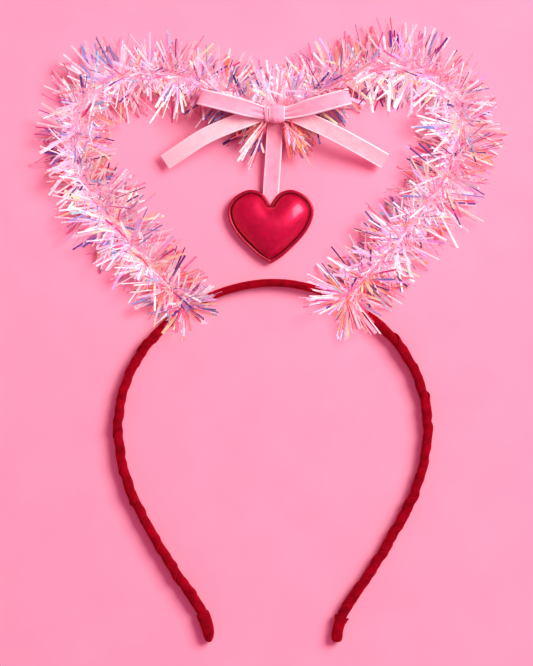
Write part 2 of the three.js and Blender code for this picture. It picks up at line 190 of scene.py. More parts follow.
paper, tree, shader = new_finish("pink_paper", Roughness=0.95, Specular_IOR_Level=0.1)
fibre = add_noise(tree, scale=40.0, detail=4.0)
tone = blend(tree, fibre, linear(249, 158, 185), linear(252, 163, 189))
tree.links.new(tone, shader.inputs["Base Color"])

sheet = bmesh.new()
bmesh.ops.create_grid(sheet, x_segments=1, y_segments=1, size=FLOOR_SIDE / 2)
floor_mesh = bpy.data.meshes.new("paper_floor")
sheet.to_mesh(floor_mesh)
sheet.free()
floor_mesh.materials.append(paper)
floor = add_object("paper_floor", floor_mesh)
floor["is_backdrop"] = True

lamp_data = bpy.data.lights.new("soft_lamp", "AREA")
lamp_data.size = LAMP["side"]
lamp_data.energy = LAMP["power"]
lamp_data.color = LAMP["colour"]
lamp = add_object("soft_lamp", lamp_data)
lamp.location = LAMP["place"]
lamp.rotation_euler = (-lamp.location).to_track_quat("-Z", "Y").to_euler()

world = bpy.data.worlds.new("pink_fill")
world.use_nodes = True
world.node_tree.nodes["Background"].inputs["Color"].default_value = (*FILL["colour"], 1)
world.node_tree.nodes["Background"].inputs["Strength"].default_value = FILL["strength"]
bpy.context.scene.world = world
bpy.context.scene.view_settings.view_transform = "Standard"
print("floor", FLOOR_SIDE, "m, lamp", round(lamp.location.length, 2), "m away")

# %% [markdown]
# ## Velvet
# Velvet is a bed of short upright threads. Light that comes in at a low angle catches the thread tips,
# so folds and edges glow while the flat of the ribbon stays deep: that is the shader's sheen. A fine
# noise stands for the pile, a coarse one for the patches where it was brushed another way, and the
# ribbon's own UV map, which runs across from 0 to 1, paints the paler woven edges. The bow's tails are
# the same ribbon as its loops but get a paler copy of the finish, a painted sheen, and along the ribbon
# the left tail is painted lighter than the right one, standing for pile turned to the light on the left
# tail and away from it on the right one.

# %% Velvet finishes
SELVEDGE = {"ragged": 0.05, "starts": 0.525, "full": 0.54}


def make_velvet(name, pile, sheen, edge, edge_wide, lean=0.0):
    """pile: deep and raised colours. edge: colour of the woven edges, edge_wide: share of the width.
    lean: how much lighter the pile is painted where the ribbon starts than where it ends, a painted sheen."""
    finish, tree, shader = new_finish(
        name, Roughness=0.9, Specular_IOR_Level=0.06,
        Sheen_Weight=sheen["weight"], Sheen_Roughness=0.35, Sheen_Tint=(*sheen["tint"], 1),
    )
    brushed = add_noise(tree, scale=260.0, detail=5.0)
    threads = add_noise(tree, scale=2600.0, detail=2.0)
    raised = add_math(tree, "DIVIDE", add_math(tree, "ADD", brushed, threads), 2.0)
    ribbon = add_node(tree, "SeparateXYZ", {"Vector": add_place(tree, "UV")}).outputs
    # painted sheen: the pile is painted lighter towards the start of the ribbon
    leaning = add_math(tree, "MULTIPLY_ADD", ribbon["X"], -lean, raised)
    body = blend(tree, leaning, *pile, shift=lean / 2)
    off_middle = add_math(tree, "ABSOLUTE", add_math(tree, "SUBTRACT", ribbon["Y"], 0.5))
    ragged = add_math(tree, "MULTIPLY_ADD", threads, SELVEDGE["ragged"], off_middle)
    selvedge = add_node(tree, "MapRange", {
        "Value": ragged,
        "From Min": SELVEDGE["starts"] - edge_wide,
        "From Max": SELVEDGE["full"] - edge_wide / 2,
    })
    colour = add_mix(tree, selvedge.outputs["Result"], body, (*edge, 1))
    tree.links.new(colour, shader.inputs["Base Color"])
    roughen(tree, shader, threads, strength=0.5, distance=0.0003)
    return finish


dark_velvet = make_velvet(
    "dark_red_velvet", pile=(linear(78, 0, 8), linear(174, 0, 30)),
    sheen={"weight": 0.75, "tint": linear(255, 28, 66)}, edge=linear(160, 0, 28), edge_wide=0.04,
)
pink_velvet = make_velvet(
    "pale_pink_velvet", pile=(linear(246, 152, 179), linear(252, 185, 204)),
    sheen={"weight": 0.45, "tint": linear(255, 205, 220)}, edge=linear(255, 228, 235), edge_wide=0.11,
)
# a paler copy of the loops' velvet for the tails: a painted sheen
lit_tail_velvet = make_velvet(
    "paler_pink_velvet_painted_sheen", pile=(linear(246, 172, 186), linear(255, 222, 227)),
    sheen={"weight": 0.5, "tint": linear(255, 215, 226)}, edge=linear(255, 234, 239), edge_wide=0.11,
    lean=0.5,
)
print("velvets:", [velvet.name for velvet in (dark_velvet, pink_velvet, lit_tail_velvet)])

# %% [markdown]
# ## Lines and ribbons
# Most of this object is something narrow that follows a bent line: ribbon, wire, rolled edge. A smooth
# line through a few measured points is sampled at even steps, and a flat grid with the same number of
# steps is then laid along it. The grid brings its own UV map, so a pattern can follow the ribbon.

# %% Helpers for lines and grids
FINE_STEPS = 33


def smooth_line(points, steps, closed=False):
    """Even steps along a smooth line through points that may be unevenly spaced."""
    spots = np.array(points, float)
    if closed:
        spots = np.vstack([spots[-2:], spots, spots[:3]])
    gaps = np.sqrt(np.linalg.norm(np.diff(spots, axis=0), axis=1))[:, None]
    slopes = np.diff(spots, axis=0) / gaps
    inner = slopes[:-1] + slopes[1:] - (spots[2:] - spots[:-2]) / (gaps[:-1] + gaps[1:])
    heads = np.vstack([slopes[:1], inner, slopes[-1:]])
    first, last = (2, len(spots) - 3) if closed else (0, len(spots) - 1)
    t = np.linspace(0, 1, FINE_STEPS)[:, None]
    rows = []
    for k in range(first, last):
        step, out, into = spots[k + 1] - spots[k], heads[k] * gaps[k], heads[k + 1] * gaps[k]
        square, cube = 3 * step - 2 * out - into, out + into - 2 * step
        rows.append(spots[k] + t * out + t**2 * square + t**3 * cube)
    dense = np.vstack(rows)
    run = np.append(0, np.cumsum(np.linalg.norm(np.diff(dense, axis=0), axis=1)))
    even = np.linspace(0, run[-1], steps + 1)
    return np.column_stack([np.interp(even, run, column) for column in dense.T])


def unit(rows):
    return rows / np.linalg.norm(rows, axis=-1, keepdims=True)


def lay_grid(bm, along, across, place):
    """A flat grid whose points go to place(step along, share across), in millimetres."""
    made = bmesh.ops.create_grid(bm, x_segments=along, y_segments=across, size=1, calc_uvs=True)
    for vert in made["verts"]:
        step = round((vert.co.x + 1) / 2 * along)
        vert.co = Vector(place(step, (vert.co.y + 1) / 2)) * MM


print("a straight line of 4 steps:", smooth_line([(0, 0), (4, 0)], 4)[:, 0])

# %% Helpers for finished pieces
SAME_POINT = 0.002 * MM


def new_mesh():
    bm = bmesh.new()
    bm.loops.layers.uv.new("lie")
    return bm


def finish_piece(name, bm, finish, node):
    bmesh.ops.remove_doubles(bm, verts=bm.verts, dist=SAME_POINT)
    bmesh.ops.recalc_face_normals(bm, faces=bm.faces)
    mesh = bpy.data.meshes.new(name)
    bm.to_mesh(mesh)
    bm.free()
    mesh.materials.append(finish)
    mesh.shade_smooth()
    piece = add_object(name, mesh)
    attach(piece, "root")
    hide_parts(node)
    print(name, "has", len(mesh.polygons), "faces")
    return piece


def thicken(piece, thick, inward=0.0):
    wall = piece.modifiers.new("wall", "SOLIDIFY")
    wall.thickness = thick * MM
    wall.offset = -inward


def make_cloth(piece, thick, inward=0.0):
    """Thickness, and one subdivision that rounds the cut edges."""
    thicken(piece, thick, inward)
    round_off = piece.modifiers.new("soft_edges", "SUBSURF")
    round_off.levels = round_off.render_levels = 1


print("points within", SAME_POINT / MM, "mm are merged")

# %% [markdown]
# ## The band's line
# The band is a spring wire bent to fit a head. Half of its line is a row of arcs, each running smoothly
# into the next, from the crown down to a tip that turns outward. The other half is its mirror image.

# %% Line and thickness of the band
BAND = {"axis_x": 1.7, "crown_y": 21.6, "middle_z": 3.2, "end": 204}
BAND_ARCS = ((58, 8), (74, 40), (59, 47), (80, 22), (305, 9), (-33, 35))
BAND_ALONG = (0, 30, 44, 60, 90, 176, 184, 191, 195, 205)
BAND_THICK = (3.5, 3.6, 3.8, 3.8, 3.7, 3.9, 4.4, 4.5, 4, 3.2)
BAND_WIDE = (6.4, 6.4, 6.4, 6.4, 6.2, 6.2, 6.2, 5.6, 4.6, 3.6)
BAND_LIFT = (0.06, 0.1, 0.4, 0.6, 0.65, 0.65, 0.65, 0.5, 0.3, 0.2)
SECTION_POWER = 0.7


def band_at(along):
    """Middle of the band and its outward direction at a place along it, minus to the left."""
    rest, heading, x, y = abs(along), 0.0, 0.0, 0.0
    for radius, sweep in BAND_ARCS:
        turn = min(rest / abs(radius), math.radians(sweep))
        turned = heading + math.copysign(turn, radius)
        x += radius * (math.sin(turned) - math.sin(heading))
        y += radius * (math.cos(turned) - math.cos(heading))
        heading = turned
        rest -= turn * abs(radius)
    x += rest * math.cos(heading)
    y -= rest * math.sin(heading)
    side = -1 if along < 0 else 1
    middle = np.array((BAND["axis_x"] + side * x, BAND["crown_y"] + y, BAND["middle_z"]))
    return middle, np.array((side * math.sin(heading), math.cos(heading), 0))


def band_section(along, angle, thick, wide, floor=0.0):
    """A point of the rounded oblong section, flattened where it lies on the floor."""
    middle, outward = band_at(along)
    shares = (math.cos(angle), math.sin(angle))
    sideways, up = (math.copysign(abs(share) ** SECTION_POWER, share) for share in shares)
    point = middle + outward * thick / 2 * sideways
    point[2] = max(floor, point[2] + wide / 2 * up)
    return point


print("band tips at", [np.round(band_at(side * BAND["end"])[0], 1).tolist() for side in (-1, 1)])

# %% [markdown]
# ## The wound band
# The velvet ribbon winds round the band in a long screw line, each turn lying over the edge of the last.
# A screw modifier would make even coils, but not along a bent line, so a long grid is wound by its own
# numbers: one way along it is the turning, the other is the width of the ribbon. One edge of a turn rides
# high on the turn before it, and the other sinks below the next. A seeded wander of each turn and shallow
# lumps keep the winding from looking machine made.

# %% Wind the ribbon round the band
WRAP = {
    "pitch": 14, "ribbon": 17.5, "steps": 22, "cuts": 12, "cloth": 0.5,
    "wander": 1.7, "seed": 5, "slack": (0.35, 1.3), "edge": 1.5,
}
LUMPS = ({"high": 0.3, "long": 7.3, "turns": 1}, {"high": 0.22, "long": 4.6, "turns": -2})
wrap_turns = math.ceil(2 * BAND["end"] / WRAP["pitch"]) + 1
turn_number = np.arange(wrap_turns + 2)
wrap_draw = np.random.default_rng(WRAP["seed"])
wander = wrap_draw.normal(0, WRAP["wander"], len(turn_number))
slack = wrap_draw.uniform(*WRAP["slack"], len(turn_number))


def lump(row, along, turn):
    return row["high"] * math.sin(2 * math.pi * (along / row["long"] + row["turns"] * turn))


def wound(step, across):
    turn = step / WRAP["steps"]
    middle = WRAP["pitch"] * (turn - 0.5) + np.interp(turn, turn_number, wander)
    lead = middle + WRAP["ribbon"] * (across - 0.5)
    along = min(max(lead - BAND["end"], -BAND["end"]), BAND["end"])
    lift = np.interp(abs(along), BAND_ALONG, BAND_LIFT) * np.interp(turn, turn_number, slack)
    lumps = sum(lump(row, along, turn) for row in LUMPS)
    rise = lift * ((1 - across) ** WRAP["edge"] + lumps) - WRAP["cloth"] / 2
    thick = np.interp(abs(along), BAND_ALONG, BAND_THICK) + 2 * rise
    wide = np.interp(abs(along), BAND_ALONG, BAND_WIDE) + 2 * rise
    return band_section(along, 2 * math.pi * turn, thick, wide, floor=WRAP["cloth"] / 2)


wrap = new_mesh()
lay_grid(wrap, wrap_turns * WRAP["steps"], WRAP["cuts"], wound)
wound_band = finish_piece("wound_band", wrap, dark_velvet, "band")
make_cloth(wound_band, WRAP["cloth"])

# %% [markdown]
# ## The folded ends
# Over each tip a last bit of ribbon is folded and pulled tight. It is a short tube that narrows to a
# rounded end. The left one hugs the band, while the right one has a cut mouth that stands away, with a
# ragged edge. A table for each gives its thickness at a row of places along the band.

# %% Fold the ends
FOLD_LEFT = {
    "along": (193.4, 194.4, 196.5, 200, 203, 205, 206.2, 206.5),
    "thick": (5.5, 6, 5.9, 5.6, 5, 3.8, 2.4, 0.5), "ragged": 0.2,
}
FOLD_RIGHT = {
    "along": (195.2, 196.2, 198, 200.5, 203.5, 205.4, 206.2, 206.5),
    "thick": (6.6, 6.1, 5, 4.9, 5.1, 4.7, 3.6, 0.5), "ragged": 0.5,
}
FOLD_WIDE = (6.4, 6.4, 6.4, 6.3, 6.1, 5.4, 4, 0.8)
FOLD = {
    "steps": 28, "round": 32, "cloth": 0.5, "seed": 8, "mouth": 5, "crease": 0.2, "creases": 3, "twist": 9,
}


def make_fold(name, node, side, table):
    tube = new_mesh()
    ragged = np.random.default_rng(side + FOLD["seed"]).normal(0, table["ragged"], FOLD["round"])
    rows = np.linspace(0, 1, len(table["along"]))

    def folded(step, around):
        share = step / FOLD["steps"]
        spoke = round(around * FOLD["round"]) % FOLD["round"]
        turn = FOLD["creases"] * 2 * math.pi * around + FOLD["twist"] * share
        crease = FOLD["crease"] * math.sin(turn) * math.sin(math.pi * share)
        thick = np.interp(share, rows, table["thick"]) - FOLD["cloth"] + crease
        wide = np.interp(share, rows, FOLD_WIDE) - FOLD["cloth"]
        mouth = np.interp(share, rows, table["along"]) + ragged[spoke] * max(0, 1 - share * FOLD["mouth"])
        return band_section(side * mouth, 2 * math.pi * around, thick, wide, floor=FOLD["cloth"] / 2)

    lay_grid(tube, FOLD["steps"], FOLD["round"], folded)
    piece = finish_piece(name, tube, dark_velvet, node)
    make_cloth(piece, FOLD["cloth"])


make_fold("left_end_fold", "end_fold_left", -1, FOLD_LEFT)
make_fold("right_end_fold", "end_fold_right", 1, FOLD_RIGHT)

# %% [markdown]
# ## The bow
# A bow is one ribbon, folded into a loop at each side and pinched in the middle. The pinch gathers the
# width into creases that fade away from the knot. The loop's line is measured once, as shares of its
# length with heights, and used for both sides. Tails are a second length of the same ribbon below it.

# %% Lines of the bow
RIBBON = {"wide": 7.2, "thick": 0.8, "gathered": 5.2, "cuts": 16}
RIBBON_STEPS = {"loops": 176, "tails": 132, "hanger": 60}
KNOT = {"x": 3.4, "y": 95.2, "tall": 8.2, "bottom": 6.8, "top": 16.9, "wall": 1, "corner": 2.6}
LOOP = {"left": -33.8, "right": 31.4, "rise": 7.4, "lean": 0.23, "lean_over": 10, "start": 0.12}
LOOP_OUT = (0, 0.18, 0.45, 0.7, 0.93, 1, 0.93, 0.65, 0.32, 0)
LOOP_HEIGHT = (14.6, 15, 17.2, 18, 17.3, 15.6, 14, 13.6, 13.4, 13.3)
TAIL_LINE = (
    (-45.8, 74.3, 4), (-38, 79.3, 7.6), (-28.4, 85.3, 10.6), (-14, 91.5, 12), (-4, 94.5, 11.8),
    (3.4, 95.2, 11.7),
    (10.5, 94.4, 11.8), (21.4, 90.3, 12), (33.3, 84.4, 10.8), (42, 79.8, 7.8), (51, 74.8, 4.2),
)
HANGER_LINE = (
    (3.2, 98.6, 5.8), (2.9, 93, 5.8), (2.4, 87, 5.5), (1.8, 76, 4.2), (1.1, 66, 3), (0.7, 58, 2.65),
    (0.7, 52, 2.65),
)


def loop_side(length, rows):
    rise = [LOOP["rise"] * max(0, (out - LOOP["start"]) / (1 - LOOP["start"])) for out, _ in rows]
    return [(KNOT["x"] + out * length, KNOT["y"] + up, height) for (out, height), up in zip(rows, rise)]


loop_rows = list(zip(LOOP_OUT, LOOP_HEIGHT))
loop_line = smooth_line(
    loop_side(LOOP["left"], loop_rows) + loop_side(LOOP["right"], loop_rows[-2:0:-1]),
    RIBBON_STEPS["loops"],
    closed=True,
)
tail_line = smooth_line(TAIL_LINE, RIBBON_STEPS["tails"])
hanger_line = smooth_line(HANGER_LINE, RIBBON_STEPS["hanger"])
loops_span, tails_span = (round(np.ptp(line[:, 0]), 1) for line in (loop_line, tail_line))
print("loops span", loops_span, "mm, tails", tails_span, "mm")

# %% [markdown]
# ## Ribbons with gathers
# One helper lays every pink ribbon: it takes the middle line, the direction of the width at each step,
# and how much the ribbon is hollowed or, with a minus sign, crowned across its width. Near the knot it is
# narrower and rises and falls in creases that fade further out.

# %% Lay the bow's ribbons
GATHER = {"from": 3.5, "to": 15, "creases": 2.5, "deep": 0.5, "drift": 0.02}
HOLLOW = {"loops": -0.55, "tails": 0.25, "hanger": 0.15}


def fade(value, low, high):
    share = np.clip((value - low) / (high - low), 0, 1)
    return share * share * (3 - 2 * share)


def lay_ribbon(bm, line, across, hollow, pinched=True):
    ahead = unit(np.gradient(line, axis=0))
    up = unit(np.cross(ahead, across))
    away = np.hypot(*(line[:, :2] - (KNOT["x"], KNOT["y"])).T)
    open_out = fade(away, GATHER["from"], GATHER["to"]) if pinched else np.ones(len(line))
    wide = RIBBON["gathered"] + (RIBBON["wide"] - RIBBON["gathered"]) * open_out

    def lie(step, share):
        wave = math.cos(2 * math.pi * GATHER["creases"] * share + GATHER["drift"] * step)
        crease = GATHER["deep"] * (1 - open_out[step]) * wave
        dish = hollow * open_out[step] * (2 * share - 1) ** 2
        return line[step] + across[step] * wide[step] * (share - 0.5) + up[step] * (crease + dish)

    lay_grid(bm, len(line) - 1, RIBBON["cuts"], lie)


def level_across(line):
    ahead = np.gradient(line, axis=0)
    return unit(np.column_stack([-ahead[:, 1], ahead[:, 0], np.zeros(len(line))]))


lean = LOOP["lean"] * np.clip((loop_line[:, 0] - KNOT["x"]) / LOOP["lean_over"], -1, 1)
loop_across = unit(np.column_stack([-lean, np.ones(len(lean)), np.zeros(len(lean))]))
loops = new_mesh()
lay_ribbon(loops, loop_line, loop_across, HOLLOW["loops"])
bow_loops = finish_piece("velvet_bow_loops", loops, pink_velvet, "bow_loops")
tails = new_mesh()
lay_ribbon(tails, tail_line, level_across(tail_line), HOLLOW["tails"])
bow_tails = finish_piece("velvet_bow_tails", tails, lit_tail_velvet, "bow_tails")
hanger = new_mesh()
lay_ribbon(hanger, hanger_line, level_across(hanger_line), HOLLOW["hanger"], pinched=False)
heart_ribbon = finish_piece("velvet_heart_ribbon", hanger, pink_velvet, "heart_hanger")
for piece in (bow_loops, bow_tails, heart_ribbon):
    make_cloth(piece, RIBBON["thick"])

# %% [markdown]
# ## The knot
# A short length of the same ribbon is wrapped round the middle of the bow, and its first turn shows as a
# narrow fold on the left. The section is a rounded oblong, fuller at the middle of the ribbon than at its
# edges, and the wrap narrows a little towards the bottom, where the hanging ribbon comes out.

# %% Wrap the knot
KNOT_WRAPS = (
    {"from": -3.6, "to": 3.6, "inset": 0, "bulge": 0.75},
    {"from": -5.3, "to": -3.75, "inset": 0.4, "bulge": 0.15},
)
KNOT_GRID = {"across": 24, "round": 64, "taper": 0.07}
KNOT_RIBS = {"count": 3, "deep": 0.05, "sway": 0.6, "sway_steps": 7}
BEYOND = 3
knot_reach = np.array((KNOT["tall"], KNOT["top"] - KNOT["bottom"])) / 2


def rounded_oblong(turn, reach, corner):
    """A point on a rectangle with rounded corners, towards a far point at a share of a full turn."""
    angle = 2 * math.pi * turn
    ray = np.array((math.cos(angle), math.sin(angle)))
    box = reach - corner
    far = ray * BEYOND * reach.max()
    inner = np.clip(far, -box, box)
    return inner + unit(far - inner) * corner


def wrapped_by(wrap):
    def wrapped(step, share):
        sway = KNOT_RIBS["sway"] * math.sin(step / KNOT_RIBS["sway_steps"])
        rib = KNOT_RIBS["deep"] * math.cos(2 * math.pi * KNOT_RIBS["count"] * share + sway)
        inset = wrap["inset"] + wrap["bulge"] * (2 * share - 1) ** 2 + KNOT_RIBS["deep"] - rib
        y, z = rounded_oblong(step / KNOT_GRID["round"], knot_reach - inset, KNOT["corner"])
        out = wrap["from"] + (wrap["to"] - wrap["from"]) * share
        x = out * (1 + KNOT_GRID["taper"] * y / knot_reach[0])
        return KNOT["x"] + x, KNOT["y"] + y, (KNOT["top"] + KNOT["bottom"]) / 2 + z

    return wrapped


knot = new_mesh()
for wrap_turn in KNOT_WRAPS:
    lay_grid(knot, KNOT_GRID["round"], KNOT_GRID["across"], wrapped_by(wrap_turn))
bow_knot = finish_piece("velvet_bow_knot", knot, pink_velvet, "bow_knot")
make_cloth(bow_knot, KNOT["wall"], inward=1.0)

# %% [markdown]
# ## Pearly leatherette
# The small heart is covered in thin coated fabric with a pearly red shine. A soft gloss under a thin
# clear coat gives the broad pale highlights, and a fine pebble grain in the bump keeps them from looking
# like glass. Patches of slightly lighter red stand for the pearl pigment. The cover's own UV map, which
# runs inward from its edge, carries a painted shade on the outer rim and in the sewn groove, and a thin
# painted highlight along the crest of the rim.

# %% Leatherette finish
# painted shade: the outer rim and the sewn groove are darkened to stand for the shade there
RIM_AND_GROOVE_PAINTED_SHADE = ((0, 0.55), (0.09, 0.8), (0.15, 0.8), (0.22, 0.34), (0.26, 0.34), (0.3, 1))
# painted highlight: a thin pale line along the crest of the rim
CREST_PAINTED_HIGHLIGHT = ((0.166, 0), (0.174, 0.9), (0.184, 0.9), (0.194, 0))
CREST_HIGHLIGHT_RED = linear(240, 112, 126)
leatherette, tree, shader = new_finish(
    "pearly_red_leatherette", Roughness=0.38, Metallic=0.55, Specular_IOR_Level=0.3,
    Coat_Weight=0.32, Coat_Roughness=0.16,
)
pearl = add_noise(tree, scale=420.0, detail=6.0)
red = blend(tree, pearl, linear(186, 0, 54), linear(210, 2, 72))
inward = add_node(tree, "SeparateXYZ", {"Vector": add_place(tree, "UV")}).outputs["Y"]
# painted shade along the outer rim and in the groove, multiplied into the red
painted_rim_shade = add_ramp(tree, inward, [(place, (shade, shade, shade)) for place, shade in RIM_AND_GROOVE_PAINTED_SHADE])
# painted highlight: the pale crest line is laid over the shaded red
crest = add_ramp(tree, inward, [(place, (share, share, share)) for place, share in CREST_PAINTED_HIGHLIGHT])
red_with_painted_light = add_mix(tree, crest, add_mix(tree, 1.0, red, painted_rim_shade, "MULTIPLY"), (*CREST_HIGHLIGHT_RED, 1))
tree.links.new(red_with_painted_light, shader.inputs["Base Color"])
pebble = add_node(tree, "TexVoronoi", {"Vector": add_place(tree, "Object"), "Scale": 1500.0})
roughen(tree, shader, pebble.outputs["Distance"], strength=0.1, distance=0.0002)
print("leatherette nodes:", len(tree.nodes))

# %% [markdown]
# ## The padded heart
# Two covers are sewn together at the edge over a filling. The front swells up in a pillow from a groove,
# and outside the groove the covers' edges make a rolled rim. Cloth that is blown up over an outline takes
# the height of a soap film: at every point the mean of its neighbours and a little more. That is worked
# out on a fine grid of cells. Both covers are then laid as a grid bent round: one way runs round the
# outline, the other from the edge inward through the rim, the groove and the pillow.

# %% Outline of the heart
HEART = {"x": 0.7, "tip_y": 30.1, "middle_y": 17, "round": 192}
HEART_HALF = (
    (0, 0), (4.6, 2.8), (9, 6.7), (12.9, 10.6), (16, 14.6), (18.4, 20), (18.6, 24.5), (15.9, 29),
    (9.4, 32.2), (4, 30.8), (1.2, 27.6), (0, 25.4),
)
right_half = smooth_line(HEART_HALF, HEART["round"] // 2)
heart_edge = np.vstack([right_half, right_half[-2::-1] * (-1, 1)])
edge_ahead = np.roll(heart_edge[:-1], -1, axis=0) - np.roll(heart_edge[:-1], 1, axis=0)
edge_inward = unit(np.column_stack([-edge_ahead[:, 1], edge_ahead[:, 0]]))
edge_inward = np.vstack([edge_inward, edge_inward[:1]])
print("heart is", np.round(np.ptp(heart_edge, axis=0), 1).tolist(), "mm")

# %% Blow up the pillow
FRONT_RIM = (
    (0, 2.8), (-0.12, 3.1), (-0.1, 3.5), (0.08, 3.9), (0.36, 4.15), (0.66, 4.15), (0.94, 3.9), (1.16, 3.5),
    (1.34, 3.2), (1.6, 3.1),
)
BACK_RIM = (
    (0, 2.5), (-0.15, 2.2), (-0.1, 1.8), (0.2, 1.35), (0.7, 1.15), (1.4, 1.2), (2, 1.2), (3.2, 0.4),
    (4.6, 0.05),
)
SWELL = {"cell": 0.25, "rounds": 5000, "full": 0.58}
NOT_ZERO = 1e-9


def swell_over(outline):
    """Corner and heights, 0 to 1, of a grid of cells over the outline."""
    corner = outline.min(axis=0) - SWELL["cell"]
    counts = np.ceil(np.ptp(outline, axis=0) / SWELL["cell"]).astype(int) + 3
    x, y = (SWELL["cell"] * np.indices(counts) + corner[:, None, None])[..., None]
    start, end = outline[:-1], outline[1:]
    passed = (start[:, 1] > y) != (end[:, 1] > y)
    run, rise = (end - start).T
    meets = start[:, 0] + (y - start[:, 1]) * run / (rise + NOT_ZERO)
    inside = (passed & (x < meets)).sum(axis=-1) % 2
    height = np.zeros(counts)
    for _ in range(SWELL["rounds"]):
        sides = [np.roll(height, shift, axis) for axis in (0, 1) for shift in (-1, 1)]
        height = inside * (sum(sides) / 4 + 1)
    return corner, (height / height.max()) ** SWELL["full"]


pillow_edge = heart_edge + edge_inward * FRONT_RIM[-1][0]
swell_corner, swell_height = swell_over(pillow_edge)


def swell_at(x, y):
    """Height at a point, from the four cells round it."""
    cell = (np.array((x, y)) - swell_corner) / SWELL["cell"]
    column, row = cell.astype(int)
    right, up = cell - (column, row)
    corners = swell_height[column:column + 2, row:row + 2]
    return np.array((1 - right, right)) @ corners @ np.array((1 - up, up))


print("pillow worked out on", swell_height.size, "cells")

# %% Covers of the heart
PILLOW = {"rows": 26, "top": 9.4, "last": 0.02, "crowd": 1.4, "rounds": 5, "still": 1.75}
HANGER_ROOM = {"half": 4.1, "above": 21, "low": 2.05, "high": 3.3}
ALL_WAYS = {"use_axis_x": True, "use_axis_y": True, "use_axis_z": True}


def cover_point(spoke, row, rim, top):
    """A point of a cover: along the rim's profile first, then up the pillow to its middle."""
    inset, height = rim[min(row, len(rim) - 1)]
    x, y = heart_edge[spoke] + edge_inward[spoke] * inset
    if row >= len(rim):
        share = ((row - len(rim) + 1) / PILLOW["rows"]) ** PILLOW["crowd"]
        reach = 1 - share * (1 - PILLOW["last"])
        x, y = x * reach, HEART["middle_y"] + (y - HEART["middle_y"]) * reach
        height += (top - height) * swell_at(x, y)
    return np.array((HEART["x"] + x, HEART["tip_y"] + y, height))


def from_edge(vert):
    flat = np.array(vert.co[:2]) / MM - (HEART["x"], HEART["tip_y"])
    return np.linalg.norm(heart_edge - flat, axis=1).min()


def make_cover(name, node, rim, top, room):
    cover = new_mesh()
    rows = len(rim) - 1 + PILLOW["rows"]

    def covered(spoke, inward):
        point = cover_point(spoke, round(inward * rows), rim, top)
        by_hanger = abs(point[0] - HEART["x"]) < HANGER_ROOM["half"]
        if by_hanger and point[1] > HEART["tip_y"] + HANGER_ROOM["above"]:
            point[2] = room(point[2])
        return point

    lay_grid(cover, HEART["round"], rows, covered)
    bmesh.ops.remove_doubles(cover, verts=cover.verts, dist=SAME_POINT)
    inside = [vert for vert in cover.verts if from_edge(vert) > PILLOW["still"]]
    for _ in range(PILLOW["rounds"]):
        bmesh.ops.smooth_vert(cover, verts=inside, factor=0.5, **ALL_WAYS)
    bmesh.ops.holes_fill(cover, edges=[edge for edge in cover.edges if edge.is_boundary])
    piece = finish_piece(name, cover, leatherette, node)


def above_hanger(height):
    return max(height, HANGER_ROOM["high"])


def below_hanger(height):
    return min(height, HANGER_ROOM["low"])


make_cover("padded_heart_front", "heart_front", FRONT_RIM, PILLOW["top"], above_hanger)
make_cover("padded_heart_back", "heart_back", BACK_RIM, 0.0, below_hanger)

# %% [markdown]
# ## Tinsel film
# The strips are clear film with a coating a fraction of a light wave thick, so each one flashes its own
# colour: white, peach, coral, lilac, now and then steel blue or indigo. A tint is stored on every strip
# as a colour attribute when it is placed, and the shader reads it back, with a bright clear coat on top.
# Film that is lit from behind glows, so part of the light is passed on by a translucent shader, and the
# attribute's alpha lets a transparent one show through where the film is nearly clear.

# %% Film finish
FILM = {"through": 0.45, "deep": (1, 0.82, 0.9), "glint": (0.4, 0.55)}
film, tree, shader = new_finish(
    "iridescent_film", Roughness=0.22, Specular_IOR_Level=0.7, Coat_Weight=0.7, Coat_Roughness=0.08,
    Thin_Film_Thickness=420.0, Thin_Film_IOR=1.45,
)
stored = add_node(tree, "Attribute", {}, attribute_name="film_tint").outputs
glint = add_noise(tree, scale=1100.0, detail=3.0)
light = add_ramp(tree, glint, list(zip(FILM["glint"], (FILM["deep"], (1, 1, 1)))))
shade = add_mix(tree, 1.0, stored["Color"], light, "MULTIPLY")
tree.links.new(shade, shader.inputs["Base Color"])
roughen(tree, shader, glint, strength=0.6, distance=0.0008)
passed_on = add_node(tree, "BsdfTranslucent", {"Color": shade}).outputs["BSDF"]
lit = add_node(tree, "MixShader", {0: FILM["through"], 1: shader.outputs["BSDF"], 2: passed_on})
gap = add_node(tree, "BsdfTransparent", {}).outputs["BSDF"]
veil = add_node(tree, "MixShader", {0: stored["Alpha"], 1: gap, 2: lit.outputs["Shader"]})
tree.links.new(veil.outputs["Shader"], tree.nodes["Material Output"].inputs["Surface"])
print("film nodes:", len(tree.nodes))

# %% [markdown]
# ## The garland's wire
# Two fine wires twisted together hold the strips. Their line starts at the band on the left, runs up
# round the left lobe, down to the dip behind the knot, and round the right lobe back to the band. The
# wire stands half a strip's length off the floor where strips hold it up, and its feet lie on the band.

# %% Line of the wire
WIRE_LEFT = ((-60.4, 38.9), (-80.4, 66.5), (-85.6, 84), (-80, 101.8), (-64, 111), (-41, 112), (-19, 103.6))
WIRE_DIP = (3.4, 94.4)
WIRE_RIGHT = ((22, 105.4), (39.4, 113.6), (58, 115.8), (76.4, 108.8), (84, 92), (77.8, 69.1), (56.9, 40.7))
WIRE_AWAY = (0, 36, 56, 150, 185, 205)
WIRE_HEIGHT = (9.5, 9.6, 10.5, 10.5, 9, 8)
WIRE = {
    "thick": 0.13, "apart": 0.14, "pitch": 2.4, "steps": 640, "sides": 5, "bare": 2,
    "feet": (-40, 33), "off_middle": 0.8,
}


def wire_foot(along):
    middle, outward = band_at(along)
    return tuple((middle + outward * WIRE["off_middle"])[:2])


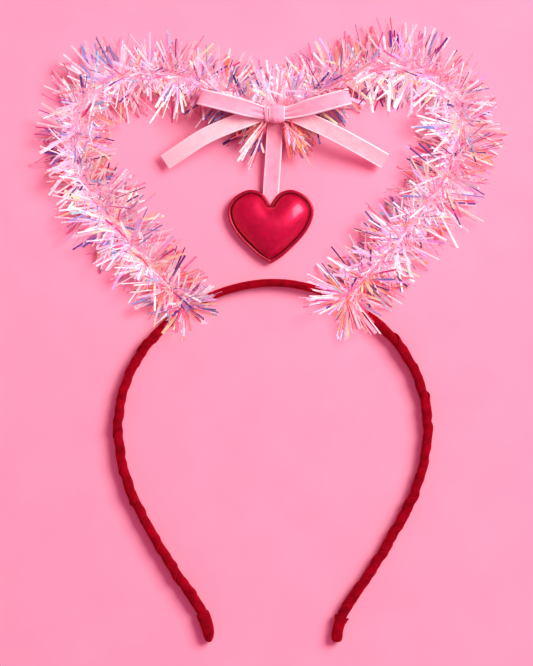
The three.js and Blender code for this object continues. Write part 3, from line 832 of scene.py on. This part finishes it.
wire_route = [wire_foot(WIRE["feet"][0]), *WIRE_LEFT, WIRE_DIP, *WIRE_RIGHT, wire_foot(WIRE["feet"][1])]
wire_flat = smooth_line(wire_route, WIRE["steps"])
wire_run = np.append(0, np.cumsum(np.linalg.norm(np.diff(wire_flat, axis=0), axis=1)))
wire_dip = wire_run[np.argmin(np.linalg.norm(wire_flat - WIRE_DIP, axis=1))]
wire_line = np.column_stack([wire_flat, np.interp(abs(wire_run - wire_dip), WIRE_AWAY, WIRE_HEIGHT)])
wire_side = level_across(wire_line)
print("wire is", round(wire_run[-1]), "mm long, its dip at", round(wire_dip), "mm")

# %% Twist two wires
metal, tree, shader = new_finish("pale_wire", Metallic=0.2, Roughness=0.35)
drawn = add_noise(tree, scale=900.0, detail=2.0)
tone = blend(tree, drawn, linear(252, 214, 224), linear(255, 240, 244))
tree.links.new(tone, shader.inputs["Base Color"])


def strand(start):
    def twisted(step, around):
        turn = 2 * math.pi * (wire_run[step] / WIRE["pitch"] + start)
        ring = 2 * math.pi * around
        side = WIRE["apart"] * math.cos(turn) + WIRE["thick"] * math.cos(ring)
        up = WIRE["apart"] * math.sin(turn) + WIRE["thick"] * math.sin(ring)
        return wire_line[step] + wire_side[step] * side + np.array((0, 0, up))

    return twisted


twist = new_mesh()
for start in (0, 0.5):
    lay_grid(twist, WIRE["steps"], WIRE["sides"], strand(start))
bmesh.ops.remove_doubles(twist, verts=twist.verts, dist=SAME_POINT)
bmesh.ops.holes_fill(twist, edges=[edge for edge in twist.edges if edge.is_boundary])
finish_piece("twisted_wire", twist, metal, "tinsel_heart")

# %% [markdown]
# ## Where the strips can go
# Long strips stand out from the wire in bursts, all round, some leaning along it. Between them short
# ones stand up all along the wire as a bed of fluff, and a fan of longer ones comes out from behind the
# knot, above the bow and below its tails. A strip that would pass through the bow, the band or the floor
# is turned aside, as the real ones are pushed aside. All the directions are drawn at once as arrays from
# a seeded generator, and the few that hit something are drawn again.

# %% What is in the way
ROOM = {"ribbon": 0.9, "band": 0.6, "band_top": 7, "band_end": 90, "band_step": 2, "top": 27}
KNOT_ROOM = {"half": 3.7, "below": 3, "behind": 4.4, "start": 4.2}


def things_in_the_way():
    """Middle points with a half width and the heights that they fill, one row each."""
    half = RIBBON["wide"] / 2
    ribbons = (*loop_line, *tail_line, *hanger_line)
    rows = [(x, y, half, z - ROOM["ribbon"], z + ROOM["ribbon"]) for x, y, z in ribbons]
    below_knot = [spot for spot in hanger_line if spot[1] < KNOT["y"] - KNOT_ROOM["below"]]
    rows += [(x, y, half, z, ROOM["top"]) for x, y, z in below_knot]
    rows.append((KNOT["x"], KNOT["y"], KNOT_ROOM["half"], KNOT["bottom"], KNOT["top"]))
    for along in range(-ROOM["band_end"], ROOM["band_end"] + 1, ROOM["band_step"]):
        x, y, _ = band_at(along)[0]
        thick = np.interp(abs(along), BAND_ALONG, BAND_THICK)
        rows.append((x, y, thick / 2 + ROOM["band"], 0, ROOM["band_top"]))
    return np.array(rows)


things = things_in_the_way()
print(len(things), "points that strips keep clear of")

# %% Where the strips start
STRIPS = {"seed": 21, "bursts": 35, "each": 98, "foot_each": 165, "end": 1.2, "scatter": 1.9, "root": 0.6}
FLUFF = {"count": 5000, "short": 3.5, "long": 11, "wide": 0.58, "lean": 0.55, "upright": 1.1}
BOW_FAN = {
    "count": 500, "along": 11, "root": 1.5, "short": 5, "long": 16.5,
    "spread": 0.85, "down": 0.7, "rise": 0.4, "drop": -0.06, "slope": 0.14,
}
draw = np.random.default_rng(STRIPS["seed"])
burst_sizes = np.full(STRIPS["bursts"], STRIPS["each"])
burst_sizes[[0, -1]] = STRIPS["foot_each"]
kinds = np.repeat(("long", "fluff", "bow_fan"), (burst_sizes.sum(), FLUFF["count"], BOW_FAN["count"]))
count = len(kinds)
fluff = kinds == "fluff"
bow_fan = kinds == "bow_fan"
bursts_at = np.linspace(STRIPS["end"], wire_run[-1] - STRIPS["end"], STRIPS["bursts"])
strip_at = np.concatenate([
    np.repeat(bursts_at, burst_sizes) + draw.normal(0, STRIPS["scatter"], burst_sizes.sum()),
    draw.uniform(0, wire_run[-1], FLUFF["count"]),
    wire_dip + draw.normal(0, BOW_FAN["along"], BOW_FAN["count"]),
])
wire_step = np.clip(np.searchsorted(wire_run, strip_at), WIRE["bare"], WIRE["steps"] - WIRE["bare"])
root_spread = np.where(bow_fan, BOW_FAN["root"], STRIPS["root"])
roots = wire_line[wire_step] + draw.normal(0, 1, (count, 3)) * root_spread[:, None]
behind_knot = abs(roots[:, 0] - KNOT["x"]) < KNOT_ROOM["behind"]
strip_start = np.where(behind_knot, KNOT_ROOM["start"], 0)
print(count, "strips,", int(fluff.sum()), "of them short,", int(behind_knot.sum()), "behind the knot")

# %% How long the strips are
LENGTHS = {"short": 12, "long": 19.8, "crowd": 1.7, "uneven": (0.86, 1.1), "spikes": 0.05, "spike": 1.14}
FOOT_BURSTS = 2
FOOT_REACH = ((0.8, 0.92), (1, 1))
BEND = 1.1
burst = abs(wire_run[wire_step][:, None] - bursts_at).argmin(axis=1)
at_foot = (burst < FOOT_BURSTS) | (burst >= STRIPS["bursts"] - FOOT_BURSTS)
burst_reach = draw.uniform(*LENGTHS["uneven"], STRIPS["bursts"])
burst_reach[[0, 1]], burst_reach[[-1, -2]] = FOOT_REACH
shorter = (LENGTHS["long"] - LENGTHS["short"]) * draw.random(count) ** LENGTHS["crowd"]
spiked = np.where(draw.random(count) < LENGTHS["spikes"], LENGTHS["spike"], 1)
length = (LENGTHS["long"] - shorter) * (burst_reach[burst] * spiked)
length = np.where(fluff, draw.uniform(FLUFF["short"], FLUFF["long"], count), length)
length = np.where(bow_fan, draw.uniform(BOW_FAN["short"], BOW_FAN["long"], count), length)
roll = draw.uniform(0, math.pi, (count, 1))
bend = draw.normal(0, BEND, (count, 1))
print("strips are", round(length.min(), 1), "to", round(length.max(), 1), "mm long")

# %% Point every strip
LEAN = {"long": 0.5, "fan": 0.1, "push": 0.5}
AIM = {"lowest": 0.4, "steepest": 0.99, "not_zero": 1e-6}
lean_by = np.where(fluff, FLUFF["lean"], LEAN["long"])
end_push = LEAN["push"] * ((burst == STRIPS["bursts"] - 1).astype(float) - (burst == 0))
wire_ahead = unit(np.gradient(wire_line, axis=0))


def garland_ways(pick):
    """Long strips all round the wire, fluff mostly upward, all leaning along the wire by chance."""
    steps, number = wire_step[pick], len(pick)
    around = draw.uniform(0, 2 * math.pi, number)
    around = np.where(fluff[pick], draw.normal(math.pi / 2, FLUFF["upright"], number), around)
    leaning = LEAN["fan"] * (wire_run[steps] - bursts_at[burst[pick]]) * ~fluff[pick] + end_push[pick]
    leaning += draw.normal(0, 1, number) * lean_by[pick]
    ways = wire_side[steps] * np.cos(around)[:, None] + wire_ahead[steps] * leaning[:, None]
    ways[:, 2] += np.sin(around)
    return ways


def fan_ways(number):
    """Strips from behind the knot, above the bow or below its tails."""
    aside = draw.normal(0, BOW_FAN["spread"], number)
    upward = np.where(draw.random(number) < BOW_FAN["down"], -1, 1)
    usual = np.where(upward > 0, BOW_FAN["rise"], BOW_FAN["drop"])
    return np.column_stack([aside, upward, usual + draw.normal(0, BOW_FAN["slope"], number)])


def strip_ways(pick):
    """Directions, tilted where a tip would go below the floor or too high."""
    usual = garland_ways(pick)
    ways = unit(np.where(bow_fan[pick][:, None], fan_ways(len(pick)), usual))
    reach = strip_start[pick] + length[pick]
    lowest = (AIM["lowest"] - roots[pick, 2]) / reach
    highest = (ROOM["top"] - roots[pick, 2]) / reach
    steep = np.clip(ways[:, 2], lowest, np.minimum(highest, AIM["steepest"]))
    level = np.linalg.norm(ways[:, :2], axis=1) + AIM["not_zero"]
    flat = ways[:, :2] * (np.sqrt(1 - steep**2) / level)[:, None]
    return np.column_stack([flat, steep])


everyone = np.arange(count)
way = strip_ways(everyone)
print(int((way[:, 2] > 0).sum()), "strips point upward at first")

# %% Turn aside the strips that hit something
TURN_ASIDE = {"clear": 0.7, "tries": 16}
PATH_SHARES = (0.15, 0.3, 0.45, 0.6, 0.75, 0.9, 1)


def broad_and_bow(way, roll, bend):
    """The direction of a strip's width, and how far its tip bows out of line."""
    level = unit(np.column_stack([-way[:, 1], way[:, 0], np.zeros(len(way))]))
    broad = level * np.cos(roll) + np.cross(way, level) * np.sin(roll)
    return broad, np.cross(way, broad) * bend


def blocked(pick):
    clear = TURN_ASIDE["clear"]
    _, bow = broad_and_bow(way[pick], roll[pick], bend[pick])
    hit = np.zeros(len(pick), bool)
    for share in PATH_SHARES:
        gone = strip_start[pick] + length[pick] * share
        spots = roots[pick] + way[pick] * gone[:, None] + bow * share**2
        off = np.hypot(spots[:, None, 0] - things[:, 0], spots[:, None, 1] - things[:, 1])
        above = spots[:, None, 2] > things[:, 3] - clear
        below = spots[:, None, 2] < things[:, 4] + clear
        hit |= ((off < things[:, 2] + clear) & above & below).any(axis=1)
    return hit


bad = blocked(everyone)
for _ in range(TURN_ASIDE["tries"]):
    again = np.flatnonzero(bad)
    way[again] = strip_ways(again)
    bad[again] = blocked(again)
print(int(bad.sum()), "strips left out for want of room")

# %% [markdown]
# ## Tints of the film
# Each tint has its share of the strips that stand up, stand out sideways or hang down, and of those at the
# feet and below the bow. It also has a colour, and a cover: how much of what lies behind it the film hides.
# The tints paint light into the film: solid white is a painted flash of the lamp, steel blue and indigo are
# painted reflections of strips turned away, and the rest are clear with a blush of pink or peach. Shade and
# warm light that come through the garland are painted too, so strips that hang down, and more so those at
# the feet and below the bow, are often rose, coral, cream or orange. Neighbours at the same angle share a
# painted flash, so many strips take the tint of their burst and direction.

# %% Table of tints
TINT_COLUMNS = ("up", "out", "down", "warm", "fan", "cover", "colour")
# white is a painted flash of the lamp, steel blue and indigo are painted reflections; the down, warm and
# fan columns paint shade and warm light
TINT_ROWS = (
    (0.39, 0.36, 0.20, 0.15, 0.13, 0.95, (255, 253, 255)),
    (0.26, 0.20, 0.20, 0.10, 0.05, 0.70, (255, 220, 242)),
    (0.06, 0.05, 0.12, 0.10, 0.09, 0.70, (255, 218, 208)),
    (0.04, 0.05, 0.04, 0.11, 0.12, 0.80, (255, 243, 204)),
    (0.03, 0.03, 0.10, 0.16, 0.26, 0.65, (255, 142, 148)),
    (0.05, 0.05, 0.15, 0.14, 0.18, 0.55, (253, 132, 182)),
    (0.07, 0.08, 0.05, 0.03, 0.02, 0.80, (236, 204, 255)),
    (0.04, 0.07, 0.03, 0.02, 0.01, 0.85, (150, 166, 222)),
    (0.04, 0.08, 0.05, 0.09, 0.06, 0.90, (98, 72, 170)),
    (0.04, 0.04, 0.02, 0.02, 0.04, 0.85, (194, 240, 252)),
    (0.01, 0.01, 0.03, 0.09, 0.04, 0.75, (255, 168, 108)),
    (0.02, 0.03, 0.02, 0.05, 0.01, 0.80, (222, 50, 160)),
)
film_tints = [dict(zip(TINT_COLUMNS, row)) for row in TINT_ROWS]
tint_colour = np.array([(*linear(*row["colour"]), row["cover"]) for row in film_tints])
print(len(film_tints), "tints")

# %% Choose the tints
HEADINGS = 14
ALIKE = 0.42
HANGING = {"below": -0.15, "spread": 0.15}
OUTWARD = {"below": 0.5, "spread": 0.15}
WARM = {"below": -0.1, "spread": 0.3, "share": 0.85}
BRIGHTNESS = (0.92, 1.05)
heading = ((np.arctan2(way[:, 1], way[:, 0]) / (2 * math.pi) % 1) * HEADINGS).astype(int)


def near(limit):
    """A limit for each strip, spread so that the kinds mix where they meet."""
    return draw.normal(limit["below"], limit["spread"], count)


def choose_tints(column):
    shares = np.array([row[column] for row in film_tints])
    shares /= shares.sum()
    by_burst = draw.choice(len(film_tints), (STRIPS["bursts"], HEADINGS), p=shares)[burst, heading]
    own = draw.choice(len(film_tints), count, p=shares)
    return np.where((draw.random(count) < ALIKE) & ~fluff, by_burst, own)


# painted light by direction: strips hanging down, at the feet and below the bow take tints that paint shade
# and warm light, upright ones more painted white flashes
hangs = way[:, 2] < near(HANGING)
stands_out = way[:, 2] < near(OUTWARD)
fan_below = bow_fan & (way[:, 1] < 0)
warm = at_foot & (way[:, 1] < near(WARM)) & (draw.random(count) < WARM["share"])
chosen_tint = np.select(
    [fan_below, warm, hangs, stands_out & ~fluff],
    [choose_tints(column) for column in ("fan", "warm", "down", "out")],
    choose_tints("up"),
)
own_tint = np.clip(tint_colour[chosen_tint] * draw.uniform(*BRIGHTNESS, (count, 1)), 0, 1)
print("tints:", np.bincount(chosen_tint, minlength=len(film_tints)).tolist())

# %% [markdown]
# ## Placing the strips
# Each strip is a flat grid three faces long, laid from the wire outward with a slight bow, its broad side
# turned by chance. Close to the wire its tint fades into pink or, at the feet and below the bow, into a red
# that paints the shade and warm light there. Clear film hardly shades what lies under it, so the strips
# that stand up cast no shadow at all, and only those near the floor, a mesh of their own, draw the
# garland's soft shadow on the paper. A solidify modifier gives the film its thickness.

# %% Bend every strip
STRIP_FACES = 3
STRIP_WIDE = {"usual": 0.9, "uneven": (0.7, 1.2), "broad_share": 0.08, "broad": 1.9}
PALE = 0.5
OFF_WIRE = 0.03
OFF_FLOOR = 0.1
flat_strip = bmesh.new()
bmesh.ops.create_grid(flat_strip, x_segments=STRIP_FACES, y_segments=1, size=1)
corners = np.array([((vert.co.x + 1) / 2, vert.co.y / 2) for vert in flat_strip.verts])
out, across = corners.T[:, None, :, None]
flat_strip.free()

broad, bow = broad_and_bow(way, roll, bend)
broad *= STRIP_WIDE["usual"] * draw.uniform(*STRIP_WIDE["uneven"], (count, 1))
pale = tint_colour[chosen_tint, :3].min(axis=1) > PALE
broad_ones = (draw.random(count) < STRIP_WIDE["broad_share"]) & pale
broad *= np.where(broad_ones, STRIP_WIDE["broad"], 1)[:, None]
broad[fluff] *= FLUFF["wide"]
strip_roots = roots + way * strip_start[:, None]
strip_points = strip_roots[:, None] + (way * length[:, None])[:, None] * (OFF_WIRE + out)
strip_points += broad[:, None] * across + bow[:, None] * out**2
strip_points[:, :, 2] = np.maximum(strip_points[:, :, 2], OFF_FLOOR)
reach_low, reach_high = strip_points.min(axis=(0, 1)), strip_points.max(axis=(0, 1))
print("strips reach from", reach_low.round(1), "to", reach_high.round(1))

# %% Tint every strip from the wire outward
ROOT_TINT = np.array((*linear(255, 186, 206), 0.42))
# painted shade and warm light near the wire, for strips at the feet and below the bow
WARM_SHADE_ROOT_TINT = np.array((*linear(242, 84, 112), 0.7))
OWN_SHARE = {"at_wire": 0.15, "rise": 1.5}
FLUFF_COVER = 0.85
root_tint = np.where((fan_below | warm)[:, None, None], WARM_SHADE_ROOT_TINT, ROOT_TINT)
own_share = np.minimum(1, OWN_SHARE["at_wire"] + OWN_SHARE["rise"] * out)
corner_tints = root_tint + (own_tint[:, None] - root_tint) * own_share
corner_tints[fluff, :, 3] = np.maximum(corner_tints[fluff, :, 3], FLUFF_COVER)
print("mean cover of the film:", corner_tints[:, :, 3].mean().round(2))

# %% Place the strips
LOW_STRIP = -0.02
FILM_THICK = 0.06


def lay_strip(bm, colour_layer, number):
    made = bmesh.ops.create_grid(bm, x_segments=STRIP_FACES, y_segments=1, size=1)
    for vert, point, colour in zip(made["verts"], strip_points[number], corner_tints[number]):
        vert.co = Vector(point) * MM
        vert[colour_layer] = colour


low_strips = way[:, 2] < LOW_STRIP
for name, chosen in (("tinsel_above", ~low_strips), ("tinsel_below", low_strips)):
    strips = new_mesh()
    colour_layer = strips.verts.layers.float_color.new("film_tint")
    for number in np.flatnonzero(chosen & ~bad):
        lay_strip(strips, colour_layer, number)
    garland = finish_piece(name, strips, film, "tinsel_heart")
    garland.data.shade_flat()
    thicken(garland, FILM_THICK)
    garland.visible_shadow = name == "tinsel_below"

# %% Print both boxes and finish
dressed_box = [list(corner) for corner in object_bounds()]
for label, (low, high) in (("solids", frame_box), ("dressed", dressed_box)):
    print(label, [round(value / MM, 1) for value in (*low, *high)])
